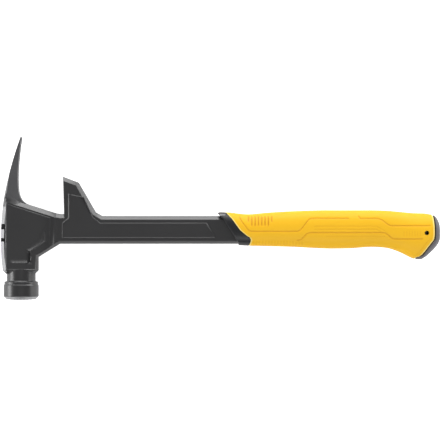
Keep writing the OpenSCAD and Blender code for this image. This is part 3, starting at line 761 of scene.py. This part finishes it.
def rolled_shell(rows, ring, point_of, depth_of=None):
    """rows is a list of row descriptions, and point_of(row, up, across) gives x, y, z in mm."""
    bm = bmesh.new()
    relief_layer = bm.verts.layers.float.new("relief")
    highlight_layer = bm.verts.layers.float.new("edge")
    long_steps, round_steps = len(rows) - 1, len(ring)
    bmesh.ops.create_grid(bm, x_segments=long_steps, y_segments=round_steps, size=1.0)
    for vert in bm.verts:
        i = round((vert.co.x + 1) / 2 * long_steps)
        j = round((vert.co.y + 1) / 2 * round_steps) % round_steps
        up, across = ring[j]
        x, y, z = point_of(rows[i], up, across)
        if depth_of and rows[i].get("outer"):
            depth = depth_of(x, y, up, across)
            if depth:
                ny, nz = skin_normal(x, up, across)
                y, z = y - ny * depth, z - nz * depth
                vert[relief_layer] = depth
        # The row's share of the painted edge highlight, stored as the edge attribute.
        vert[highlight_layer] = rows[i].get("edge", 0.0)
        vert.co = place(x, y, z)
    bmesh.ops.remove_doubles(bm, verts=bm.verts, dist=JOIN_DISTANCE)
    ends = [edge for edge in bm.edges if edge.is_boundary]
    if ends:
        bmesh.ops.holes_fill(bm, edges=ends, sides=0)
    bmesh.ops.recalc_face_normals(bm, faces=bm.faces)
    return bm


print("points closer than", JOIN_DISTANCE, "m are merged in a shell")

# %% [markdown]
# ## Relief moulded into the cover
#
# The cover has eight thumb grooves, long stepped lines that run along both cheeks, a few finer
# lines between them, and short ribs behind the collar and near the butt. They are moulded in, so
# they are made as real depth: each point of the cheek is pushed in by a smooth valley whose depth falls
# off with its distance from the line. A boolean would cut harder lines and a rougher mesh. Each
# kind of line is given as its half width and its depth, and a field of ribs as its borders, the
# first rib, the pitch and the half width.

# %% The lines, in millimetres along and above the shank's line
DEEP_LINES = [
    [
        (220.5, 12.4), (222.4, 8.2), (225.8, 3.6), (229.5, -0.6), (231.3, -1.3), (273.9, -1.3),
        (276.7, -0.1), (279.5, 3.1), (282.3, 6.9), (284.7, 9.8), (287.4, 10.7), (321.2, 10.7),
    ],
    [
        (330.4, 12.6), (331.9, 10.6), (348.0, 10.6), (351.7, 9.4), (355.4, 6.4), (358.7, 4.4),
        (361.0, 3.8), (396.2, 3.8),
    ],
    [
        (273.9, -9.7), (277.2, -9.0), (280.0, -6.4), (282.3, -3.7), (285.0, -2.6),
        (354.5, -2.6), (358.2, -5.0), (361.9, -8.1), (364.7, -8.4), (388.8, -8.4),
    ],
]
FINE_LINES = [
    [(289.7, 3.3), (347.1, 3.3), (354.5, -1.0)],
    [(289.7, 0.4), (347.1, 0.4), (352.6, -2.9)],
    [(300.8, -6.0), (354.5, -6.0)],
    [(384.6, -22.3), (395.2, -9.4)],
]
DEEP, FINE, THUMB = (1.0, 0.42), (0.8, 0.16), (1.15, 0.55)
THUMB_PLACES = [228.9 + 3.05 * i for i in range(8)]
THUMB_FLOOR, THUMB_SHORT_FLOOR, THUMB_TOP, THUMB_FADE = 3.8, 7.6, 12.6, 0.8
RIB_FIELDS = [
    (370.5, 388.5, -6.4, -0.6, 371.0, 2.5, 0.8),
    (232.0, 280.0, -15.0, -9.4, 232.0, 2.8, 0.9),
]
RIB_DEPTH, RIB_FADE = 0.14, 1.2
CHEEK_FROM, RELIEF_RANGE = 0.55, 2


def distance_to(line, x, y):
    """Distance from a point to a line of straight stretches."""
    best = math.inf
    for (x1, y1), (x2, y2) in zip(line, line[1:]):
        if min(x1, x2) - RELIEF_RANGE > x or max(x1, x2) + RELIEF_RANGE < x:
            continue
        dx, dy = x2 - x1, y2 - y1
        t = max(0.0, min(1.0, ((x - x1) * dx + (y - y1) * dy) / (dx * dx + dy * dy)))
        best = min(best, math.hypot(x - x1 - t * dx, y - y1 - t * dy))
    return best


def valley(distance, half_width, depth):
    if distance >= half_width:
        return 0.0
    return depth * 0.5 * (1 + math.cos(math.pi * distance / half_width))


def cover_relief(x, y, up, across):
    """How deep the cover's surface is pushed in at a point of its cheeks."""
    if abs(across) < CHEEK_FROM:
        return 0.0
    depths = [valley(distance_to(line, x, y), *DEEP) for line in DEEP_LINES]
    depths += [valley(distance_to(line, x, y), *FINE) for line in FINE_LINES]
    for i, thumb in enumerate(THUMB_PLACES):
        low = THUMB_SHORT_FLOOR if i in (0, 7) else THUMB_FLOOR
        inside = min(max(y - low + THUMB_FADE, 0.0), max(THUMB_TOP - y + THUMB_FADE, 0.0))
        ends = min(inside, 2 * THUMB_FADE) / (2 * THUMB_FADE)
        depths.append(valley(abs(x - thumb), *THUMB) * ends)
    for first, last, low, high, start, pitch, half_width in RIB_FIELDS:
        if first < x < last and low < y < high:
            ends = min(y - low, high - y, RIB_FADE) / RIB_FADE
            away = abs((x - start) % pitch - pitch / 2)
            depths.append(ends * valley(away, half_width, RIB_DEPTH))
    return max(depths)


print("the relief is", round(cover_relief(300.0, 10.7, 0.5, 0.9), 2), "mm deep on a long line")

# %% [markdown]
# ## Yellow rubber and black plastic
#
# The cover is a soft rubber with a fine dull grain. It scatters light, so its roughness is high,
# and its colour is a warm yellow. Its colour is painted a deeper orange in the moulded lines, as
# painted shade in the grooves, and paler where the cover rolls out at its two edges, as a painted
# highlight. The mesh carries a value for each. The collar is a hard black plastic with a finer
# grain. The cap has the same finish, painted dark grey as a painted reflection of the pale table.
# The small lip on top of the collar is smoother and glossier than the rest, and its lighter colour
# is a painted highlight.

# %% Finishes for the grip
# The relief depth at which the painted groove shade is full, the orange of that painted shade, and the
# paler tint of the painted edge highlight.
RELIEF_FULL = 0.5
GROOVE_SHADE_ORANGE, EDGE_HIGHLIGHT_PAINT = (0.7, 0.31, 0.002), (1.0, 0.8, 0.26)
rubber_yellow, rubber_shader, colour = base_finish(
    "yellow_rubber", (0.9, 0.5, 0.008), 0.55, (1300.0, 0.02), (25.0, 0.06), {"Specular IOR Level": 0.35}
)
tree = rubber_yellow.node_tree
# The relief value paints a deeper orange into the moulded lines as painted shade, and the edge value
# paints the rolled edges paler as a painted highlight.
for attribute, full, shade in (("relief", RELIEF_FULL, GROOVE_SHADE_ORANGE), ("edge", 1.0, EDGE_HIGHLIGHT_PAINT)):
    value = tree.nodes.new("ShaderNodeAttribute")
    value.attribute_name = attribute
    blend = tree.nodes.new("ShaderNodeMix")
    blend.data_type = "VECTOR"
    blend.inputs[5].default_value = shade
    tree.links.new(add_ramp(tree, value.outputs["Fac"], (0.0, full)), blend.inputs[0])
    tree.links.new(colour, blend.inputs[4])
    colour = blend.outputs[1]
tree.links.new(colour, rubber_shader.inputs["Base Color"])

plastic_black = base_finish(
    "black_plastic", (0.012, 0.0125, 0.0145), 0.42, (1800.0, 0.02), (50.0, 0.15)
)[0]
# The cap's own black plastic, painted grey as a painted reflection of the pale table on its rounded
# end.
cap_painted_reflection = base_finish("cap_plastic_painted_reflection", (0.125, 0.12, 0.13), 0.42, (1800.0, 0.015), (50.0, 0.15))[0]
# The lip is the collar's black plastic made glossier, with a lighter colour that is a painted
# highlight.
lip_painted_highlight = base_finish(
    "lip_plastic_painted_highlight", (0.06, 0.06, 0.064), 0.25, (1800.0, 0.004), (50.0, 0.15), {"IOR": 1.85}
)[0]
plastics = [plastic_black, cap_painted_reflection, lip_painted_highlight]
print("grip finishes:", rubber_yellow.name, [finish.name for finish in plastics])

# %% [markdown]
# ## The soft cover
#
# The cover lies between the two parting lines. Rows crowd together at both ends, where its edge
# rolls down by half a millimetre and leaves the fine seam that a real two-material grip has.
# Inside, it is a plain wall with a hair of room round the core.

# %% Rows of the cover
def between_lines(share, offset=0.0):
    def x_of_y(y):
        front, back = line_at(COLLAR_BACK, y), line_at(CAP_LINE, y)
        return front + (back - front) * share + offset
    return x_of_y


# Each row of the rolled edge: offset along the grip, inset, and the strength of the painted highlight
# that it carries.
EDGE_ROLL = [
    (0.0, 0.5, 0.3), (0.06, 0.26, 0.6), (0.2, 0.1, 0.8), (0.4, 0.03, 0.9), (0.7, -0.03, 0.9),
    (1.0, 0.0, 0.6), (1.3, 0.05, 0.2), (1.6, 0.03, 0.0),
]
CAVITY_END, CAVITY_ROWS = 383.0, 24
COVER_ROWS, COVER_FIRST, COVER_LAST = 400, 0.012, 0.988


def cavity_place(share):
    def x_of_y(y):
        return line_at(COLLAR_BACK, y) * (1 - share) + CAVITY_END * share
    return x_of_y


cover_rows = [{"x": cavity_place(1.0), "inset": COVER_WALL, "shrink": CLOSED}]
for i in range(CAVITY_ROWS + 1):
    cover_rows.append({"x": cavity_place(1 - i / CAVITY_ROWS), "inset": COVER_WALL})
for offset, inset, highlight_amount in EDGE_ROLL:
    cover_rows.append({"x": between_lines(0.0, offset), "inset": inset, "edge": highlight_amount})
for i in range(COVER_ROWS + 1):
    share = COVER_FIRST + (COVER_LAST - COVER_FIRST) * i / COVER_ROWS
    cover_rows.append({"x": between_lines(share), "inset": 0.0, "outer": True})
for offset, inset, highlight_amount in reversed(EDGE_ROLL):
    cover_rows.append({"x": between_lines(1.0, -offset), "inset": inset, "edge": highlight_amount})
for shrink in CLOSING:
    cover_rows.append({"x": between_lines(1.0), "inset": EDGE_ROLL[0][1], "shrink": shrink})


def row_point(row, up, across):
    return skin_point(row["x"], up, across, row["inset"], row.get("shrink", 1.0))


cover_bm = rolled_shell(cover_rows, fine_ring, row_point, cover_relief)
print("the cover has", len(cover_bm.faces), "faces")

# %% [markdown]
# ## A true hole for the tether
#
# The hole runs right through the butt. Faces inside its circle are removed on both cheeks, the
# rim left behind is pulled onto the circle, and the two rims are bridged into the wall of the hole.
# That wall takes the black plastic, painted shade for the dark inside of the narrow hole. Cutting
# it with a boolean would leave long thin faces beside the rim.

# %% Cut and line the hole
TETHER = (393.3, -2.7)
TETHER_RADIUS = 2.05
RIM_REACH = 1.12


def open_hole(bm, centre, radius):
    middle = place(centre[0], centre[1], 0.0)

    def away(co):
        return math.hypot(co.x - middle.x, co.y - middle.y)

    inside = [f for f in bm.faces if all(away(v.co) < radius * RIM_REACH * MM for v in f.verts)]
    bmesh.ops.delete(bm, geom=inside, context="FACES")
    rims = [e for e in bm.edges if e.is_boundary and away(e.verts[0].co) < 2 * radius * MM]
    for vert in {v for e in rims for v in e.verts}:
        reach = away(vert.co)
        vert.co.x = middle.x + (vert.co.x - middle.x) * radius * MM / reach
        vert.co.y = middle.y + (vert.co.y - middle.y) * radius * MM / reach
    return rims


rims = open_hole(cover_bm, TETHER, TETHER_RADIUS)
hole_wall = bmesh.ops.bridge_loops(cover_bm, edges=rims)["faces"]
# The wall takes the black plastic, painted shade for the dark inside of the hole.
for face in hole_wall:
    face.material_index = 1
print("the hole has", len(rims) // 2, "edges on each cheek and", len(hole_wall), "faces in its wall")
bmesh.ops.remove_doubles(cover_bm, verts=cover_bm.verts, dist=JOIN_DISTANCE)
bmesh.ops.recalc_face_normals(cover_bm, faces=cover_bm.faces)
cover = add_piece("cover", cover_bm, [rubber_yellow, plastic_black], "soft_grip")
smooth_by_angle(cover, 50)
print("the finished cover has", len(cover.data.polygons), "faces")

# %% [markdown]
# ## The core and its collar
#
# The hard core shows only in front of the cover, as a collar with a slanted front that is open
# for the shank. Its front edge is rounded, its face turns in to the steel, and behind the parting
# line it steps down under the cover. The part under the cover is kept plain. On top the collar
# ends in a small lip that reaches over the shank's edge. Its cheeks are planed to flat facets,
# which mirror the light beyond the claw, and their colour is painted lighter, a painted highlight.

# %% Rows of the collar and the core
MOUTH_BACK, MOUTH_INSETS = 6.0, (7.6, 3.5, 1.6)
FRONT_ROLL = [(0.0, 1.1), (0.07, 0.75), (0.25, 0.4), (0.5, 0.18), (0.8, 0.05), (1.15, 0.0)]
BACK_ROLL = [(-0.4, 0.03), (-0.2, 0.12), (-0.06, 0.28), (0.0, 0.55)]
COLLAR_ROWS, BACK_GAP = 14, 0.7
CORE_STEP = COVER_WALL + 0.1
LIP_END, LIP_FOOT, LIP_SLOPE = 207.6, (13.1, 9.3), 0.9
LIP_STRETCH, LIP_LOW, LIP_TALL = 1.4, 9.0, 4.0


def from_line(line, offset):
    return lambda y: line_at(line, y) + offset


def rolled_front(offset):
    """The rounding of the front edge grows to a broad slope at the lip on top."""
    def x_of_y(y):
        stretch = 1.0 + LIP_STRETCH * min(max((y - LIP_LOW) / LIP_TALL, 0.0), 1.0)
        return line_at(COLLAR_FRONT, y) + offset * stretch
    return x_of_y


def along_collar(share):
    front, back = rolled_front(FRONT_ROLL[-1][0]), from_line(COLLAR_BACK, -BACK_GAP)
    return lambda y: front(y) * (1 - share) + back(y) * share


def collar_point(row, up, across):
    """A point of the collar. The lip over the shank's edge is planed to a flat facet."""
    x, y, z = row_point(row, up, across)
    flat = LIP_FOOT[1] - LIP_SLOPE * (y - LIP_FOOT[0])
    if x < LIP_END and y > LIP_FOOT[0] and abs(z) > flat:
        z = math.copysign(flat, z)
    return x, y, z


mouth_row = {"x": from_line(COLLAR_FRONT, MOUTH_BACK), "inset": MOUTH_INSETS[0]}
core_rows = [dict(mouth_row, shrink=CLOSED), mouth_row]
core_rows += [{"x": from_line(COLLAR_FRONT, 0.0), "inset": inset} for inset in MOUTH_INSETS]
core_rows += [{"x": rolled_front(offset), "inset": inset} for offset, inset in FRONT_ROLL]
core_rows += [{"x": along_collar((i + 1) / COLLAR_ROWS), "inset": 0.0} for i in range(COLLAR_ROWS)]
core_rows += [{"x": from_line(COLLAR_BACK, offset), "inset": inset} for offset, inset in BACK_ROLL]
core_rows += [{"x": cavity_place(i / CAVITY_ROWS), "inset": CORE_STEP} for i in range(CAVITY_ROWS)]
core_rows.append(dict(core_rows[-1], shrink=CLOSED))

core_bm = rolled_shell(core_rows, ring_shares(80, 28), collar_point)
# The lip's facets take the lighter lip plastic, whose lighter colour is a painted highlight.
for face in core_bm.faces:
    x, y, z = drawn(face.calc_center_median())
    if x < LIP_END and y > LIP_FOOT[0] and face.normal.y > 0.5 and abs(face.normal.z) > 0.5:
        face.material_index = 1
core = add_piece("collar_and_core", core_bm, [plastic_black, lip_painted_highlight], "grip_core")
smooth_by_angle(core, 40)
print("the collar and core have", len(core.data.polygons), "faces")

# %% [markdown]
# ## The butt cap
#
# The cap closes the butt: a narrow dark groove beside the cover, then a rounding that turns over
# its end and catches the light from the side. Its black plastic is painted grey, a painted
# reflection of the pale table, and only the groove keeps the plain black. Its rows run from inside
# the seam, over its surface, to a small flat end.

# %% Rows of the cap
GROOVE_WIDTH, CAP_SEAT, CAP_FROM = 1.1, 0.3, 1.6
CAP_ROLL = [(0.02, 1.2), (0.95, 1.1), (1.15, 0.3), (1.4, 0.06)]
CAP_SHARES = [
    0.04, 0.1, 0.18, 0.26, 0.34, 0.42, 0.5, 0.58, 0.65, 0.72, 0.78, 0.83, 0.87, 0.9, 0.93,
    0.95, 0.965, 0.98, 0.99, 0.996, 1.0,
]


def to_end(share, offset=0.0):
    return lambda y: (line_at(CAP_LINE, y) + offset) * (1 - share) + OVERALL_LENGTH * share


seat_row = {"x": to_end(0.0, CAP_SEAT), "inset": COVER_WALL}
cap_rows = [dict(seat_row, shrink=CLOSED), seat_row]
cap_rows += [{"x": to_end(0.0, offset), "inset": inset} for offset, inset in CAP_ROLL]
cap_rows += [{"x": to_end(share, CAP_FROM), "inset": 0.0} for share in CAP_SHARES]
cap_rows += [{"x": to_end(1.0), "inset": 0.0, "shrink": shrink} for shrink in CLOSING]
cap_bm = rolled_shell(cap_rows, plain_ring, row_point)
# The groove keeps the plain black plastic; the rest of the cap takes the grey of the painted
# reflection.
for face in cap_bm.faces:
    x, y, z = drawn(face.calc_center_median())
    if x < line_at(CAP_LINE, y) + GROOVE_WIDTH:
        face.material_index = 1
cap = add_piece("cap", cap_bm, [cap_painted_reflection, plastic_black], "butt_cap")
smooth_by_angle(cap, 40)
print("the cap has", len(cap.data.polygons), "faces")

# %% [markdown]
# ## A pale table
#
# The hammer lies on a plain pale table that runs out of view. To the camera the table glows white.
# Mirrored in the hammer it is much dimmer, so that the lower edges keep their depth. To the light
# it is an ordinary pale surface, so that it keeps the hammer's soft shadow. The glow stops under
# the butt, where no light can reach: otherwise it would shine up through the tether hole.

# %% The floor
CAMERA_GLOW, MIRRORED_GLOW = 0.9, 0.28
DARK_SPOT = (0.005, 0.008)
TABLE_HALF = 4.0
TABLE_SOCKETS = {
    "Base Color": (0.82, 0.82, 0.82, 1.0),
    "Roughness": 0.9,
    "Specular IOR Level": 0.0,
    "Emission Color": (1.0, 1.0, 1.0, 1.0),
}
floor_bm = bmesh.new()
bmesh.ops.create_grid(floor_bm, x_segments=1, y_segments=1, size=TABLE_HALF)
floor_mesh = bpy.data.meshes.new("table")
floor_bm.to_mesh(floor_mesh)
floor_bm.free()
floor = bpy.data.objects.new("table", floor_mesh)
scene.collection.objects.link(floor)

table_paint = bpy.data.materials.new("table_paint")
table_paint.use_nodes = True
tree = table_paint.node_tree
table_shader = tree.nodes["Principled BSDF"]
for label, value in TABLE_SOCKETS.items():
    table_shader.inputs[label].default_value = value
rays = tree.nodes.new("ShaderNodeLightPath")
seen = add_math(tree, "MULTIPLY", rays.outputs["Is Camera Ray"], CAMERA_GLOW)
glow = add_math(tree, "MULTIPLY_ADD", rays.outputs["Is Glossy Ray"], MIRRORED_GLOW, seen)
from_hole = tree.nodes.new("ShaderNodeVectorMath")
from_hole.operation = "DISTANCE"
hole_place = place(TETHER[0], TETHER[1], 0.0)
from_hole.inputs[1].default_value = (hole_place.x, hole_place.y, 0.0)
tree.links.new(tree.nodes.new("ShaderNodeTexCoord").outputs["Object"], from_hole.inputs[0])
open_table = add_ramp(tree, from_hole.outputs["Value"], DARK_SPOT)
tree.links.new(add_math(tree, "MULTIPLY", glow, open_table), table_shader.inputs["Emission Strength"])
floor_mesh.materials.append(table_paint)
print("the table spans", [round(v, 2) for v in floor.dimensions])

# %% [markdown]
# ## Soft light from all sides
#
# Dark steel shows its shape only through what it mirrors. The flat cheeks face the camera and
# mirror the space straight above, where a weak panel makes them a little lighter than black. The
# slanted edges mirror the sides of the room. Wide low panels beyond the claw and the crown, with a
# weaker one above the claw's, light the edges that face them. Two smaller ones stand toward the
# hook and the butt, and a higher one on the side of the striking face lights the edges below. What
# mirrors the room sees it darker than it is for the matt grip, which keeps the dark parts dark.

# %% Lights and the room
ROOM_LIGHT, MIRRORED_ROOM = 0.4, 0.12
PANELS = [
    ("claw_side_low", 90, 12, 1.6, 2.6, 0.65, 4.4),
    ("claw_side_high", 90, 45, 1.8, 1.8, 0.9, 0.8),
    ("crown_side", 180, 10, 1.5, 1.6, 0.5, 4.5),
    ("face_side", 270, 50, 1.6, 2.4, 0.7, 2.4),
    ("hook_side", 28, 12, 1.6, 1.0, 0.6, 4.2),
    ("butt_side", 350, 14, 1.7, 1.1, 0.5, 1.4),
    ("overhead", 0, 90, 3.6, 1.7, 1.7, 0.16),
]


def add_panel(name, bearing, height, distance, width, tall, radiance):
    """A panel seen from the hammer at a bearing (degrees from +X) and a height over the table."""
    turn, lift = math.radians(bearing), math.radians(height)
    level = distance * math.cos(lift)
    spot = (level * math.cos(turn), level * math.sin(turn), distance * math.sin(lift))
    light = bpy.data.lights.new(name, "AREA")
    light.shape = "RECTANGLE"
    light.size, light.size_y = width, tall
    light.energy = radiance * math.pi * width * tall
    lamp = bpy.data.objects.new(name, light)
    lamp.location = spot
    lamp.rotation_euler = (Vector((0, 0, 0)) - Vector(spot)).to_track_quat("-Z", "Y").to_euler()
    scene.collection.objects.link(lamp)


for panel in PANELS:
    add_panel(*panel)

world = bpy.data.worlds.new("room")
scene.world = world
world.use_nodes = True
tree = world.node_tree
background = tree.nodes["Background"]
background.inputs["Color"].default_value = (1.0, 1.0, 1.0, 1.0)
mirrored = tree.nodes.new("ShaderNodeLightPath").outputs["Is Glossy Ray"]
room_level = add_ramp(tree, mirrored, (0.0, 1.0), (ROOM_LIGHT, MIRRORED_ROOM))
tree.links.new(room_level, background.inputs["Strength"])
scene.view_settings.view_transform = "Standard"
print(len(PANELS), "panels, the strongest sideways one at", max(panel[-1] for panel in PANELS))

# %% [markdown]
# ## The camera
#
# The photograph is square on to the hammer's side, from far away. A long lens high above the
# table gives the same view with hardly any perspective.

# %% Camera
CAMERA_HEIGHT = 3.2
VIEW_WIDTH = 0.4075
PICTURE_MIDDLE = (-0.0004, -0.0013)
SENSOR = 36.0
camera_data = bpy.data.cameras.new("camera")
camera_data.sensor_width = SENSOR
camera_data.lens = SENSOR * (CAMERA_HEIGHT - MIDDLE_Z * MM) / VIEW_WIDTH
camera_data.clip_end = 20.0
camera = bpy.data.objects.new("camera", camera_data)
camera.location = (*PICTURE_MIDDLE, CAMERA_HEIGHT)
scene.collection.objects.link(camera)
scene.camera = camera
print("lens of", round(camera_data.lens), "mm")
